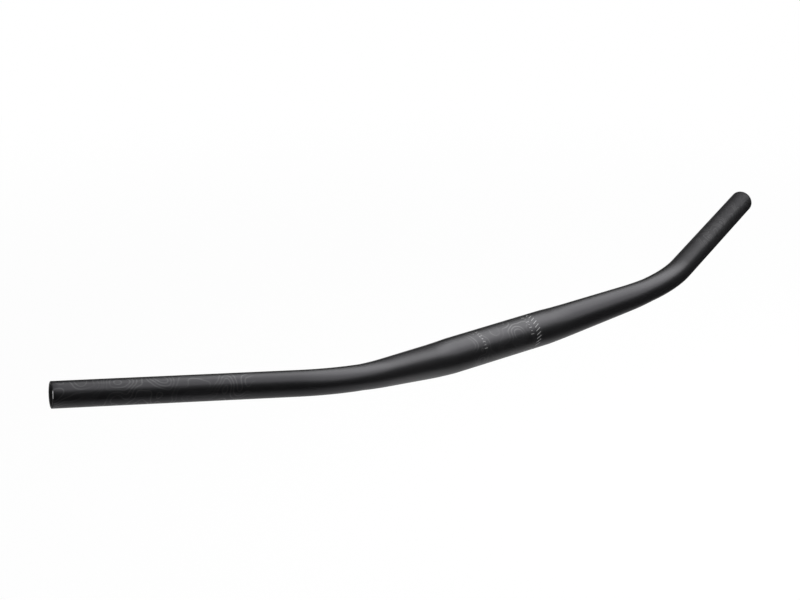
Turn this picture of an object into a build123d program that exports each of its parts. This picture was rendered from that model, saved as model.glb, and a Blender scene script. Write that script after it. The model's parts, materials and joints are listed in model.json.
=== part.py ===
from build123d import *
import os
from math import radians, sqrt, tan

os.makedirs("parts", exist_ok=True)

# Riser handlebar, one hollow tube: a fat straight middle for the stem, a taper that runs out through
# two bends on each side, and slim straight ends for the grips.
# X runs along the bar, Y points back to the rider, Z points up, origin at the middle of the clamp zone.

# Sizes in millimetres, angles in degrees
overall_width = 850.0
clamp_diameter = 31.8
clamp_length = 116.0
grip_diameter = 22.2
taper_length = 120.0

# Course of the right half, from the clamp zone outwards
forward_sweep_angle = 11.5
rise_angle = 8.0
rise_length = 124.0
inner_bend_radius = 125.0
back_sweep_angle = 24.2
up_sweep_angle = 4.0
outer_bend_radius = 144.0

# Wall, thicker in the clamp zone than at the grips
clamp_wall = 2.4
grip_wall = 2.0

# Square-cut ends, rounded outside and broken inside
end_rounding = 0.5
end_chamfer = 0.4

clamp_radius = clamp_diameter / 2
grip_radius = grip_diameter / 2
taper_start = clamp_length / 2
taper_end = taper_start + taper_length


def heading(sweep, climb):
    """Unit direction outwards along the bar, swept back in plan and climbing in front view."""
    return Vector(1, tan(radians(sweep)), tan(radians(climb))).normalized()


def tangent_length(radius, before, after):
    """Distance from a bend's corner to where its arc begins."""
    return radius * tan(radians(before.get_angle(after)) / 2)


def tapered(distance, at_clamp, at_grip):
    """A size that stays as it is in the clamp zone, changes evenly along the taper, then stays again."""
    share = (distance - taper_start) / taper_length
    return at_clamp + (at_grip - at_clamp) * min(max(share, 0), 1)


# Corners of the right half's centre line; the bar is widest on the rounded rim of its end
clamp_run = Vector(1, 0, 0)
rise_run = heading(-forward_sweep_angle, rise_angle)
grip_run = heading(back_sweep_angle, up_sweep_angle)
lean = sqrt(1 - grip_run.X**2)
tip_x = overall_width / 2 - (grip_radius - end_rounding) * lean - end_rounding * (1 - grip_run.X)
inner_corner = clamp_run * (taper_start + tangent_length(inner_bend_radius, clamp_run, rise_run))
outer_corner = inner_corner + rise_run * rise_length
bar_end = outer_corner + grip_run * ((tip_x - outer_corner.X) / grip_run.X)

with BuildLine() as centre_line:
    FilletPolyline(
        (0, 0, 0),
        inner_corner,
        outer_corner,
        bar_end,
        radius=[inner_bend_radius, outer_bend_radius],
    )

# The centre line outside the clamp zone in spans, each straight or one arc, cut where the taper ends
spans = []
travelled = taper_start
for run in centre_line.edges().sort_by(Axis.X)[1:]:
    share = (taper_end - travelled) / run.length
    if 0.001 < share < 0.999:
        spans.append((travelled, run.trim(0, share)))
        spans.append((taper_end, run.trim(share, 1)))
    else:
        spans.append((travelled, run))
    travelled += run.length


def section(span, place):
    """Plane square across the centre line, with its X along the normal of the bend."""
    if span.geom_type == GeomType.LINE:
        return Plane(span @ place, z_dir=span % place)
    return Plane(span @ place, x_dir=span.normal(), z_dir=span % place)


# One side of the bar, from the edge of the clamp zone to the open end
with BuildPart() as side:
    # Outside first, then the bore through it
    for at_clamp, at_grip, mode in (
        (clamp_radius, grip_radius, Mode.ADD),
        (clamp_radius - clamp_wall, grip_radius - grip_wall, Mode.SUBTRACT),
    ):
        for start, span in spans:
            for place in (0, 1):
                with BuildSketch(section(span, place)):
                    Circle(tapered(start + place * span.length, at_clamp, at_grip))
            if span.geom_type == GeomType.LINE:
                loft(ruled=True, mode=mode)
            else:
                sweep(path=span, multisection=True, mode=mode)
    # Square-cut end
    rim = side.faces().filter_by(GeomType.PLANE).sort_by(Axis.X)[-1]
    fillet(rim.outer_wire().edges(), end_rounding)
    rim = side.faces().filter_by(GeomType.PLANE).sort_by(Axis.X)[-1]
    chamfer(rim.inner_wires()[0].edges(), end_chamfer)

# Straight tube of the clamp zone with a side on either hand, all one piece
with BuildPart() as handlebar:
    with BuildSketch(Plane.YZ):
        Circle(clamp_radius)
        Circle(clamp_radius - clamp_wall, mode=Mode.SUBTRACT)
    extrude(amount=taper_start, both=True)
    add(side.part)
    mirror(side.part, about=Plane.YZ)

handlebar.part.label = "handlebar"
export_step(handlebar.part, "parts/handlebar.step")
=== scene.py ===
import json
from math import acos, ceil, cos, pi, radians, sin, tan

import bpy
import numpy as np
from mathutils import Matrix, Quaternion, Vector


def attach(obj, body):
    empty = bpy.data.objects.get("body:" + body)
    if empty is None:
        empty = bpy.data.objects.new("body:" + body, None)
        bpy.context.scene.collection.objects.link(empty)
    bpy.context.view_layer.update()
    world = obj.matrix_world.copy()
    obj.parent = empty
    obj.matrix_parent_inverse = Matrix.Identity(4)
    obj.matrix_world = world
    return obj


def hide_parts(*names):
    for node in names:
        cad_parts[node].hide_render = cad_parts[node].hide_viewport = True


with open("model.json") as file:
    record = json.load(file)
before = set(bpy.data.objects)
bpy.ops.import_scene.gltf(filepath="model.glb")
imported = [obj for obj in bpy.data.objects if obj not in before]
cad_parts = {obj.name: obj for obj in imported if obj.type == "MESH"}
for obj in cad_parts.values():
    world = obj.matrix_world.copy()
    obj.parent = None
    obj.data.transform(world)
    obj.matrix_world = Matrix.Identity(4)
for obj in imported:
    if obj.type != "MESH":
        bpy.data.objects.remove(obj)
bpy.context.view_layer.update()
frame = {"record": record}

# The bar's sizes in metres, as in the solid: what mates with something comes from its mounts
mounts = {mount["name"]: mount for mount in frame["record"]["mounts"]}
CLAMP_RADIUS = mounts["stem_clamp"]["dims"]["r_mm"] / 1000
CLAMP_HALF = mounts["stem_clamp"]["dims"]["length_mm"] / 2000
GRIP_RADIUS = mounts["right_grip"]["dims"]["r_mm"] / 1000
GRIP_BORE = mounts["right_end_plug"]["dims"]["r_mm"] / 1000
MOUNT_INSET = 0.001
CLAMP_WALL = 0.0024
CLAMP_BORE = CLAMP_RADIUS - CLAMP_WALL
TAPER_LENGTH = 0.120
TAPER_END = CLAMP_HALF + TAPER_LENGTH
FORWARD_SWEEP, RISE = radians(11.5), radians(8.0)
RISE_LENGTH = 0.124
INNER_BEND, OUTER_BEND = 0.125, 0.144
END_ROUNDING, END_CHAMFER = 0.0005, 0.0004


def unit(vector):
    return np.array(vector) / np.linalg.norm(vector)


UP = np.array([0.0, 0.0, 1.0])
CLAMP_RUN = np.array([1.0, 0.0, 0.0])
RISE_RUN = unit([1.0, -tan(FORWARD_SWEEP), tan(RISE)])
GRIP_RUN = unit(mounts["right_grip"]["axis"])
GRIP_SIDEWAYS = unit(np.cross(UP, GRIP_RUN))
BAR_END = np.array(mounts["right_grip"]["pos_m"]) + GRIP_RUN * MOUNT_INSET

# Course of the right half's centre line: length, direction at the start, direction after a bend, its radius
inner_turn = acos(float(CLAMP_RUN @ RISE_RUN))
outer_turn = acos(float(RISE_RUN @ GRIP_RUN))
inner_set = INNER_BEND * tan(inner_turn / 2)
outer_set = OUTER_BEND * tan(outer_turn / 2)
outer_corner = CLAMP_RUN * (CLAMP_HALF + inner_set) + RISE_RUN * RISE_LENGTH
runs = [
    (CLAMP_HALF, CLAMP_RUN, None, 0.0),
    (INNER_BEND * inner_turn, CLAMP_RUN, RISE_RUN, INNER_BEND),
    (RISE_LENGTH - inner_set - outer_set, RISE_RUN, None, 0.0),
    (OUTER_BEND * outer_turn, RISE_RUN, GRIP_RUN, OUTER_BEND),
    (float(np.linalg.norm(BAR_END - outer_corner)) - outer_set, GRIP_RUN, None, 0.0),
]
HALF_LENGTH = sum(run[0] for run in runs)
GRIP_START = HALF_LENGTH - runs[-1][0]
TINY = 1e-9


def on_course(distance):
    """Place and direction of the centre line this far from the middle, measured along it."""
    place = np.zeros(3)
    for length, before, after, radius in runs:
        along = min(distance, length)
        if after is None:
            place, heading = place + before * along, before
        else:
            inward = unit(after - before * (after @ before))
            angle = along / radius
            place = place + radius * (sin(angle) * before + (1 - cos(angle)) * inward)
            heading = cos(angle) * before + sin(angle) * inward
        distance -= along
        if distance <= TINY:
            break
    return place, heading


def tapered(distance, at_clamp, at_grip):
    """A radius that is even in the clamp zone and on the grips, and changes evenly along the taper."""
    share = (distance - CLAMP_HALF) / TAPER_LENGTH
    return at_clamp + (at_grip - at_clamp) * min(max(share, 0.0), 1.0)


# Rings of the right half from the middle out and back through the bore: distance along the bar and radius
STRAIGHT_STEP, BEND_STEP = 0.005, 0.0022
ROUNDING_STEPS = 6


def stations(last):
    """Distances for rings up to the last one, closer in the bends, with a ring where the taper ends."""
    found, start = [0.0], 0.0
    for length, _, after, _ in runs:
        end = min(start + length, last)
        step = STRAIGHT_STEP if after is None else BEND_STEP
        cuts = [start, TAPER_END, end] if start < TAPER_END < end else [start, end]
        for low, high in zip(cuts, cuts[1:]):
            count = ceil((high - low) / step)
            found += [low + (high - low) * k / count for k in range(1, count + 1)]
        start += length
    return found


outside = [(d, tapered(d, CLAMP_RADIUS, GRIP_RADIUS)) for d in stations(HALF_LENGTH - END_ROUNDING)]
rounding = []
for step in range(1, ROUNDING_STEPS + 1):
    angle = pi / 2 * step / ROUNDING_STEPS
    distance = HALF_LENGTH - END_ROUNDING * (1 - sin(angle))
    rounding.append((distance, GRIP_RADIUS - END_ROUNDING * (1 - cos(angle))))
inside = [(d, tapered(d, CLAMP_BORE, GRIP_BORE)) for d in stations(HALF_LENGTH - END_CHAMFER)]
half = outside + rounding + [(HALF_LENGTH, GRIP_BORE + END_CHAMFER)] + inside[::-1]

# Where the stretches begin, counted in rings of a half
bend_from = next(j for j, (d, r) in enumerate(outside) if d > CLAMP_HALF - TINY)
grip_from = next(j for j, (d, r) in enumerate(outside) if d > GRIP_START - TINY)
rim_from = len(outside) - 1
chamfer_from = len(outside) + len(rounding)
bore_from = chamfer_from + 1
middle = len(half) - 1

# One closed skin: out along the right half, back through its bore, and the left half as its mirror image
ROUND = 96
angles = np.arange(ROUND) * 2 * pi / ROUND
top_dir, sections = UP, {}
for distance in sorted({d for d, r in half}):
    place, heading = on_course(distance)
    top_dir = unit(top_dir - heading * (top_dir @ heading))
    sections[distance] = (place, top_dir, np.cross(heading, top_dir))
half_rings = []
for distance, radius in half:
    place, top_dir, side_dir = sections[distance]
    spokes = np.outer(np.cos(angles), top_dir) + np.outer(np.sin(angles), side_dir)
    half_rings.append(place + radius * spokes)
mirrored = [ring * np.array([-1.0, 1.0, 1.0]) for ring in half_rings[1:-1]]
skin_rings = half_rings + mirrored[::-1]

# Where each stretch of the skin lies on the bake map, in pixels: the printed zones get the most room
MAP_SIZE = 1024
CLAMP_MAP = (4, 4, 540, 464)
BEND_MAPS = {1: (548, 4, 1018, 216), -1: (548, 224, 1018, 436)}
GRIP_MAPS = {1: (4, 472, 640, 694), -1: (4, 702, 640, 924)}
RIM_MAPS = {1: (648, 444, 968, 468), -1: (648, 476, 968, 500)}
BORE_MAPS = {1: (648, 508, 1018, 600), -1: (648, 608, 1018, 700)}
outline = [0.0]
for (d0, r0), (d1, r1) in zip(half, half[1:]):
    outline.append(outline[-1] + float(np.hypot(d1 - d0, r1 - r0)))


def on_map(j, first, side):
    """The stretch that holds the faces from ring `first` of a half, and how far along it ring j lies."""
    if first < bend_from:
        return CLAMP_MAP, 0.5 + side * outline[j] / (2 * outline[bend_from])
    if first < grip_from:
        zone, low, high = BEND_MAPS[side], bend_from, grip_from
    elif first < rim_from:
        zone, low, high = GRIP_MAPS[side], grip_from, rim_from
    elif first < bore_from:
        zone, low, high = RIM_MAPS[side], rim_from, bore_from
    else:
        zone, low, high = BORE_MAPS[side], bore_from, middle
    return zone, (outline[j] - outline[low]) / (outline[high] - outline[low])


def map_place(j, first, side, step):
    """Place on the map, with the rims, long round the bar and short along it, laid the other way."""
    (x0, y0, x1, y1), along = on_map(j, first, side)
    across = step / ROUND
    if rim_from <= first < bore_from:
        along, across = across, along
    return (x0 + along * (x1 - x0)) / MAP_SIZE, (y0 + across * (y1 - y0)) / MAP_SIZE


# Faces ring by ring, counted round from the underside, where the map has its seam
COAT_SLOT, RIM_SLOT, BORE_SLOT = 0, 1, 2
SHARP_ANGLE = radians(30)
count = len(skin_rings)
faces, slots, map_places = [], [], []
for k in range(count):
    here, there = k * ROUND, (k + 1) % count * ROUND
    side = 1 if k < middle else -1
    j0, j1 = (k, k + 1) if side > 0 else (2 * middle - k, 2 * middle - k - 1)
    first = min(j0, j1)
    if first < rim_from:
        slot = COAT_SLOT
    elif first < chamfer_from:
        slot = RIM_SLOT
    else:
        slot = BORE_SLOT
    for step in range(ROUND):
        a = (step + ROUND // 2) % ROUND
        b = (a + 1) % ROUND
        faces.append((here + a, there + a, there + b, here + b))
        slots.append(slot)
        for j, corner_step in ((j0, step), (j1, step), (j1, step + 1), (j0, step + 1)):
            map_places.append(map_place(j, first, side, corner_step))
mesh = bpy.data.meshes.new("handlebar_tube")
mesh.from_pydata(np.concatenate(skin_rings).tolist(), [], faces)
bake_map = mesh.uv_layers.new(name="OFBake")
bake_map.uv.foreach_set("vector", np.array(map_places, dtype=np.float32).ravel())
mesh.polygons.foreach_set("material_index", slots)
mesh.validate()
mesh.shade_smooth()
mesh.set_sharp_from_angle(angle=SHARP_ANGLE)
tube = bpy.data.objects.new("handlebar_tube", mesh)
bpy.context.scene.collection.objects.link(tube)


class Nodes:
    """A node tree, laid in short calls that take numbers and sockets alike."""

    def __init__(self, tree):
        self.tree = tree

    def feed(self, socket, value):
        if isinstance(value, bpy.types.NodeSocket):
            self.tree.links.new(value, socket)
        else:
            socket.default_value = value

    def add(self, kind, *values, out=0, **settings):
        node = self.tree.nodes.new("ShaderNode" + kind)
        for key, value in settings.items():
            setattr(node, key, value)
        for socket, value in zip(node.inputs, values):
            self.feed(socket, value)
        return node.outputs[out]

    def calc(self, operation, *values):
        return self.add("Math", *values, operation=operation)

    def vector(self, operation, *values):
        out = "Value" if operation in ("DOT_PRODUCT", "LENGTH") else "Vector"
        return self.add("VectorMath", *values, operation=operation, out=out)

    def scaled(self, colour, factor):
        made = self.vector("SCALE", colour)
        self.feed(made.node.inputs["Scale"], factor)
        return made

    def ramp(self, value, low, high, at_low=0.0, at_high=1.0):
        """A smooth step between the two ends, whichever way they run, and level outside them."""
        if low > high:
            low, high, at_low, at_high = high, low, at_high, at_low
        return self.add("MapRange", value, low, high, at_low, at_high, interpolation_type="SMOOTHSTEP")

    def blend(self, share, first, second):
        node = self.tree.nodes.new("ShaderNodeMix")
        node.data_type = "RGBA"
        for name, value in (("Factor", share), ("A", first), ("B", second)):
            self.feed(node.inputs[name], value)
        return node.outputs["Result"]

    def times(self, *shares):
        total = shares[0]
        for share in shares[1:]:
            total = self.calc("MULTIPLY", total, share)
        return total

    def most(self, *shares):
        total = shares[0]
        for share in shares[1:]:
            total = self.calc("MAXIMUM", total, share)
        return total

    def white_share(self, in_gloss):
        """Share of white: whole to the eye and through glass, and this much in a reflection."""
        rays = ("Is Camera Ray", "Is Transmission Ray", "Is Glossy Ray")
        seen, through, gloss = [self.add("LightPath", out=ray) for ray in rays]
        return self.most(seen, through, self.times(gloss, in_gloss))


# How much detail a noise has
ROLLING, USUAL, FINE = 1.0, 2.0, 3.0

# Where a printed stroke ends and where it is whole, in shares of its width
STROKE_OUTER, STROKE_INNER = 0.6, 0.4


class Shading(Nodes):
    """A material of the bar, with its place in the bar's own frame."""

    def __init__(self, name):
        self.made = bpy.data.materials.new(name)
        self.made.use_nodes = True
        super().__init__(self.made.node_tree)
        self.shader = self.tree.nodes["Principled BSDF"]
        self.place = self.add("TexCoord", out="Object")
        self.x, self.y, self.z = [self.add("SeparateXYZ", self.place, out=k) for k in range(3)]
        self.from_middle = self.calc("ABSOLUTE", self.x)
        on_right_half = self.add("CombineXYZ", self.from_middle, self.y, self.z)
        self.from_end = self.vector("SUBTRACT", on_right_half, tuple(BAR_END))

    def noise(self, scale, detail=USUAL, place=None):
        return self.add("TexNoise", place or self.place, 0.0, scale, detail)

    def varied(self, base, *changes):
        """A base number plus each share, measured from its half, times its gain."""
        total = base
        for share, gain in changes:
            total = self.calc("MULTIPLY_ADD", self.calc("SUBTRACT", share, 0.5), gain, total)
        return total

    def stroke(self, off_middle, width):
        """A stroke of this width, soft at its edges, from the distance to its middle line."""
        return self.ramp(off_middle, width * STROKE_OUTER, width * STROKE_INNER)

    def relief(self, height, strength, distance):
        node = self.tree.nodes.new("ShaderNodeBump")
        for name, value in (("Strength", strength), ("Distance", distance), ("Height", height)):
            self.feed(node.inputs[name], value)
        self.feed(self.shader.inputs["Normal"], node.outputs["Normal"])

    def finish(self, values):
        for name, value in values.items():
            self.feed(self.shader.inputs[name], value)
        return self.made


# Satin black coat with contour lines in a clear varnish, pale alignment ticks and a hatched mark
COAT, INK = (0.0074, 0.0074, 0.0078), (0.26, 0.26, 0.26, 1)
GLOSS_TINT = (0.95, 0.935, 1.0, 1)
ROUGHNESS, VARNISH_ROUGHNESS = 0.365, 0.36
CLOUD_SCALE, GRAIN_SCALE = 22.0, 1300.0
CLOUD_TONE, GRAIN_TONE, CLOUD_ROUGH, GRAIN_ROUGH = 0.16, 0.20, 0.06, 0.06
COAT_RELIEF, COAT_RELIEF_DEPTH = 0.06, 0.0001
LINE_VARNISH, LINE_GAIN, BAND_GAIN = 0.55, 0.4, 0.3
CONTOUR_SCALE, CONTOUR_LEVELS, CONTOUR_OUTER, CONTOUR_INNER = 38.0, 15.0, 0.00070, 0.00035
CONTOUR_SHIFT, PROBE, LEAST_STEEP = (0.5, 0.2, 0.1), 0.0004, 1.0
FAINT_SCALE, FAINT_LOW, FAINT_HIGH, FAINTEST = 27.0, 0.40, 0.58, 0.25
PRINT_CLAMP, PRINT_GRIP, PRINT_FADE, PRINT_SOFT = 0.047, 0.168, 0.012, 0.0001
TICK_ROW, TICK_FIRST, TICK_STEP, TICKS = 0.0288, radians(8), radians(11), 7
TICK_LONG, TICK_SHORT, TICK_WIDE, TICK_INK = 0.0035, 0.0018, 0.00055, 0.85
HATCH_ROW, HATCH_TALL, HATCH_STEP, HATCH_WIDE, HATCH_LEAN = 0.0365, 0.0052, 0.0036, 0.0008, 0.45
HATCH_FIRST, HATCH_LAST, HATCH_SOFT = radians(-1), radians(124), radians(1)
INK_PATCH_SCALE, INK_PATCH_LOW, INK_PATCH_HIGH = 900.0, 0.25, 0.5
THINNEST_INK, INK_HEIGHT = 0.55, 0.5

coat = Shading("satin_black")
past_end = coat.vector("DOT_PRODUCT", coat.from_end, tuple(GRIP_RUN))
printed = coat.most(
    coat.ramp(coat.from_middle, PRINT_CLAMP, PRINT_CLAMP - PRINT_FADE),
    coat.ramp(past_end, -PRINT_GRIP, PRINT_FADE - PRINT_GRIP),
)

# Contour lines of one width: levels of a rolling noise, each divided by the slope along the skin
shifted = coat.vector("ADD", coat.place, CONTOUR_SHIFT)
hills = [coat.noise(CONTOUR_SCALE, ROLLING, shifted)]
for probe in ((PROBE, 0, 0), (0, PROBE, 0), (0, 0, PROBE)):
    hills.append(coat.noise(CONTOUR_SCALE, ROLLING, coat.vector("ADD", shifted, probe)))
slope = coat.add("CombineXYZ", *[coat.calc("SUBTRACT", hill, hills[0]) for hill in hills[1:]])
normal = coat.add("NewGeometry", out="Normal")
slope = coat.vector("SUBTRACT", slope, coat.vector("PROJECT", slope, normal))
steep = coat.calc("MULTIPLY", coat.vector("LENGTH", slope), CONTOUR_LEVELS / PROBE)
level = coat.calc("MULTIPLY", hills[0], CONTOUR_LEVELS)
off_line = coat.calc("ABSOLUTE", coat.calc("SUBTRACT", coat.calc("FRACT", level), 0.5))
off_line = coat.calc("DIVIDE", off_line, coat.calc("MAXIMUM", steep, LEAST_STEEP))
faint = coat.ramp(coat.noise(FAINT_SCALE, ROLLING, shifted), FAINT_LOW, FAINT_HIGH, FAINTEST, 1.0)
line = coat.times(printed, faint, coat.ramp(off_line, CONTOUR_OUTER, CONTOUR_INNER))

# Every second level between the lines, a shade lighter
band = coat.calc("FLOORED_MODULO", coat.calc("FLOOR", coat.calc("ADD", level, 0.5)), 2.0)
band = coat.times(printed, band)

# Alignment ticks, long and short by turns, counted round the clamp zone from its top to the front
turned = coat.calc("ARCTAN2", coat.calc("MULTIPLY", coat.y, -1.0), coat.z)
tick = coat.calc("DIVIDE", coat.calc("SUBTRACT", turned, TICK_FIRST), TICK_STEP)
number = coat.calc("ROUND", tick)
off_tick = coat.calc("ABSOLUTE", coat.calc("SUBTRACT", tick, number))
off_tick = coat.calc("MULTIPLY", off_tick, TICK_STEP * CLAMP_RADIUS)
odd = coat.calc("FLOORED_MODULO", number, 2.0)
reach = coat.calc("MULTIPLY_ADD", odd, (TICK_SHORT - TICK_LONG) / 2, TICK_LONG / 2)
off_row = coat.calc("ABSOLUTE", coat.calc("SUBTRACT", coat.from_middle, TICK_ROW))
ticks = coat.times(
    coat.stroke(off_tick, TICK_WIDE),
    coat.ramp(coat.calc("SUBTRACT", off_row, reach), PRINT_SOFT, -PRINT_SOFT),
    coat.calc("GREATER_THAN", number, -0.5),
    coat.calc("LESS_THAN", number, TICKS - 0.5),
)

# Hatched mark beside the right row of ticks
from_hatch = coat.calc("SUBTRACT", coat.x, HATCH_ROW)
along_hatch = coat.calc("MULTIPLY_ADD", from_hatch, HATCH_LEAN, coat.calc("MULTIPLY", turned, CLAMP_RADIUS))
hatch = coat.times(
    coat.stroke(coat.calc("PINGPONG", along_hatch, HATCH_STEP / 2), HATCH_WIDE),
    coat.ramp(coat.calc("ABSOLUTE", from_hatch), HATCH_TALL / 2 + PRINT_SOFT, HATCH_TALL / 2 - PRINT_SOFT),
    coat.ramp(turned, HATCH_FIRST - HATCH_SOFT, HATCH_FIRST + HATCH_SOFT),
    coat.ramp(turned, HATCH_LAST + HATCH_SOFT, HATCH_LAST - HATCH_SOFT),
)
ink = coat.most(coat.calc("MULTIPLY", ticks, TICK_INK), hatch)
thinned = coat.ramp(coat.noise(INK_PATCH_SCALE), INK_PATCH_LOW, INK_PATCH_HIGH, THINNEST_INK, 1.0)
ink = coat.times(ink, thinned)

# Black, clouded and grained
cloud, grain = coat.noise(CLOUD_SCALE, FINE), coat.noise(GRAIN_SCALE)
tone = coat.varied(1.0, (cloud, CLOUD_TONE), (grain, GRAIN_TONE))
tone = coat.calc("MULTIPLY_ADD", line, LINE_GAIN, tone)
tone = coat.calc("MULTIPLY_ADD", band, BAND_GAIN, tone)
coat.relief(coat.calc("MULTIPLY_ADD", ink, INK_HEIGHT, grain), COAT_RELIEF, COAT_RELIEF_DEPTH)
mesh.materials.append(coat.finish({
    "Base Color": coat.blend(ink, coat.scaled(COAT, tone), INK),
    "Roughness": coat.varied(ROUGHNESS, (cloud, CLOUD_ROUGH), (grain, GRAIN_ROUGH)),
    "Specular Tint": GLOSS_TINT,
    "Coat Weight": coat.calc("MULTIPLY", line, LINE_VARNISH),
    "Coat Roughness": VARNISH_ROUGHNESS,
}))

# Cut end and its rounded edge, dull black with fine turning rings, and a patch of bright bare metal on the
# upper front of each end that is a painted glint where the light catches the edge
RIM_DULL, RIM_GLINT_BARE, GLINT_METALLIC = (0.015, 0.015, 0.016, 1), (0.70, 0.70, 0.71, 1), 0.9
RIM_ROUGHNESS, RIM_GRAIN_SCALE, RIM_GRAIN_ROUGH, RIM_SPECULAR = 0.42, 700.0, 0.1, 0.05
RIM_PATCH_SCALE, RIM_PATCH_LOW, RIM_PATCH_HIGH, LEAST_GLINT = 300.0, 0.30, 0.45, 0.85
TURNING_STEP, RIM_RELIEF, RIM_RELIEF_DEPTH = 0.00018, 0.08, 0.00002
GLINT_UP, GLINT_OUTER, GLINT_INNER = radians(20), 0.94, 0.98
GLINT_SIDE = unit(UP * sin(GLINT_UP) - GRIP_SIDEWAYS * cos(GLINT_UP))
rim = Shading("cut_rim")
# Painted glint: bright bare metal is put only on the upper front side of each end, where the light catches
# the rounded edge
toward_glint = rim.vector("DOT_PRODUCT", rim.vector("NORMALIZE", rim.from_end), tuple(GLINT_SIDE))
glint_patches = rim.ramp(rim.noise(RIM_PATCH_SCALE), RIM_PATCH_LOW, RIM_PATCH_HIGH, LEAST_GLINT, 1.0)
glint_bare = rim.times(rim.ramp(toward_glint, GLINT_OUTER, GLINT_INNER), glint_patches)
turning = rim.calc("SINE", rim.calc("MULTIPLY", rim.vector("LENGTH", rim.from_end), 2 * pi / TURNING_STEP))
rim.relief(turning, RIM_RELIEF, RIM_RELIEF_DEPTH)
mesh.materials.append(rim.finish({
    "Base Color": rim.blend(glint_bare, RIM_DULL, RIM_GLINT_BARE),
    "Metallic": rim.calc("MULTIPLY", glint_bare, GLINT_METALLIC),
    "Roughness": rim.varied(RIM_ROUGHNESS, (rim.noise(RIM_GRAIN_SCALE), RIM_GRAIN_ROUGH)),
    "Specular IOR Level": RIM_SPECULAR,
}))

# Bore, dull black with streaks from drawing the tube
BORE_BLACK, BORE_ROUGHNESS, BORE_SPECULAR = (0.050, 0.050, 0.051), 0.6, 0.3
STREAK_SCALE, STREAK_LONG, STREAK_TONE, STREAK_ROUGH = 260.0, 0.03, 0.8, 0.2
BORE_RELIEF, BORE_RELIEF_DEPTH = 0.15, 0.0001
bore = Shading("dull_bore")
streaks = bore.noise(STREAK_SCALE, FINE, bore.vector("MULTIPLY", bore.place, (STREAK_LONG, 1.0, 1.0)))
bore.relief(streaks, BORE_RELIEF, BORE_RELIEF_DEPTH)
mesh.materials.append(bore.finish({
    "Base Color": bore.scaled(BORE_BLACK, bore.varied(1.0, (streaks, STREAK_TONE))),
    "Roughness": bore.varied(BORE_ROUGHNESS, (streaks, STREAK_ROUGH)),
    "Specular IOR Level": BORE_SPECULAR,
}))

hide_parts("handlebar")
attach(tube, "root")

# Camera as in the photo
AZIMUTH, ELEVATION = radians(-41.6528), radians(18.4031)
FOCAL_PIXELS, PICTURE_WIDTH, SENSOR_WIDTH = 2325.22, 800, 36
CAMERA_ASIDE, CAMERA_UP, CAMERA_BACK = -0.0871722, 0.0368432, 2.07496
rightward = Vector((cos(AZIMUTH), sin(AZIMUTH), 0))
forward = Vector((sin(AZIMUTH), -cos(AZIMUTH), 0))
backward = forward * cos(ELEVATION) + Vector((0, 0, sin(ELEVATION)))
upward = backward.cross(rightward)
camera = bpy.data.objects.new("camera", bpy.data.cameras.new("camera"))
bpy.context.scene.collection.objects.link(camera)
camera.data.sensor_width = SENSOR_WIDTH
camera.data.lens = SENSOR_WIDTH * FOCAL_PIXELS / PICTURE_WIDTH
stand = rightward * CAMERA_ASIDE + upward * CAMERA_UP + backward * CAMERA_BACK
axes = Matrix((rightward, upward, backward)).transposed().to_4x4()
camera.matrix_world = Matrix.Translation(stand) @ axes
bpy.context.scene.camera = camera
bpy.context.scene.view_settings.view_transform = "Standard"

# Floor and world, white to the eye, with a white sweep and a dim studio beyond it in the gloss
FLOOR_Z, FLOOR_REACH = -0.35, 14.0
FRONT_EDGE, FRONT_FADE = 0.21, 0.50
RIGHT_EDGE, RIGHT_FADE = 0.17, 0.38
WHITE, WHITE_PAINT = (1.0, 1.0, 1.0, 1), (0.9, 0.9, 0.9, 1)
DIM_SKY, DIM_PAINT = (0.03, 0.03, 0.03, 1), (0.02, 0.02, 0.02, 1)
SHADOW_NEAR, SHADOW_FAR, WHITE_NEAR = 0.6, 2.4, 0.90
SWEEP_IN_GLOSS, SKY_IN_GLOSS = 0.40, 0.01

floor_mesh = bpy.data.meshes.new("floor")
corners = [(-1, -1), (1, -1), (1, 1), (-1, 1)]
floor_mesh.from_pydata([(x * FLOOR_REACH, y * FLOOR_REACH, FLOOR_Z) for x, y in corners], [], [(0, 1, 2, 3)])
floor = bpy.data.objects.new("floor", floor_mesh)
bpy.context.scene.collection.objects.link(floor)
pale = bpy.data.materials.new("pale_floor")
pale.use_nodes = True
floor_mesh.materials.append(pale)

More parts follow.
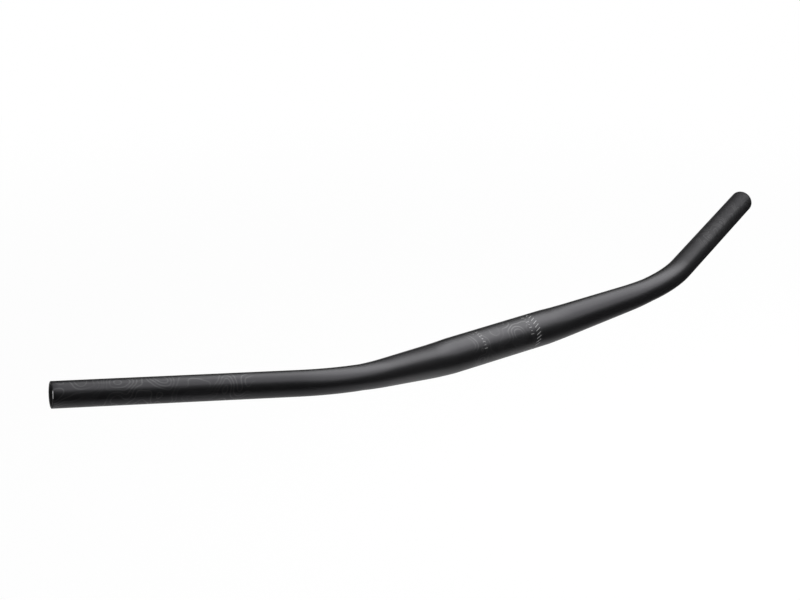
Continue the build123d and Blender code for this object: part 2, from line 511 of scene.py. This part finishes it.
# The sweep reaches back and to the left, and ends a little in front of the bar and on its right
ground = Nodes(pale.node_tree)
spot = ground.add("NewGeometry", out="Position")
to_right = ground.vector("DOT_PRODUCT", spot, tuple(rightward))
to_front = ground.vector("DOT_PRODUCT", spot, tuple(forward))
sweep = ground.times(
    ground.ramp(to_right, RIGHT_EDGE + RIGHT_FADE, RIGHT_EDGE),
    ground.ramp(to_front, FRONT_EDGE + FRONT_FADE, FRONT_EDGE),
)
white = ground.white_share(ground.calc("MULTIPLY", sweep, SWEEP_IN_GLOSS))

# White by itself, less so under the bar, where it keeps a shadow, and paint that throws soft light back
away = ground.vector("LENGTH", spot)
glow_share = ground.times(white, ground.ramp(away, SHADOW_NEAR, SHADOW_FAR, WHITE_NEAR, 1.0))
pale_share = ground.most(white, ground.add("LightPath", out="Is Diffuse Ray"))
paint = ground.add("BsdfDiffuse", ground.blend(pale_share, DIM_PAINT, WHITE_PAINT))
surface = ground.add("MixShader", glow_share, paint, ground.add("Emission", WHITE, 1.0))
ground.feed(pale.node_tree.nodes["Material Output"].inputs["Surface"], surface)
pale.node_tree.nodes.remove(pale.node_tree.nodes["Principled BSDF"])

world = bpy.data.worlds.new("studio")
world.use_nodes = True
bpy.context.scene.world = world
sky = Nodes(world.node_tree)
sky_colour = sky.blend(sky.white_share(SKY_IN_GLOSS), DIM_SKY, WHITE)
sky.feed(world.node_tree.nodes["Background"].inputs["Color"], sky_colour)


# Softboxes: two overhead in front and on the right, as in the photo, and one behind that lights the back
def softbox(name, place, roll, wide, deep, radiance):
    """A large soft lamp, turned to the middle of the bar and out of the camera's sight."""
    lamp = bpy.data.lights.new(name, "AREA")
    lamp.shape = "RECTANGLE"
    lamp.size, lamp.size_y = wide, deep
    lamp.energy = radiance * pi * wide * deep
    box = bpy.data.objects.new(name, lamp)
    box.location = place
    box.rotation_mode = "QUATERNION"
    box.rotation_quaternion = (-Vector(place)).to_track_quat("-Z", "Y") @ Quaternion((0, 0, 1), roll)
    box.visible_camera = False
    bpy.context.scene.collection.objects.link(box)


softbox("softbox_front", place=(0.69, -0.61, 1.33), roll=0.0, wide=2.93, deep=2.24, radiance=2.2)
softbox("softbox_side", place=(0.94, 0.10, 1.47), roll=radians(14), wide=2.12, deep=1.58, radiance=1.7)
softbox("softbox_back", place=(-1.45, 1.00, 1.00), roll=0.0, wide=2.4, deep=1.4, radiance=1.5)
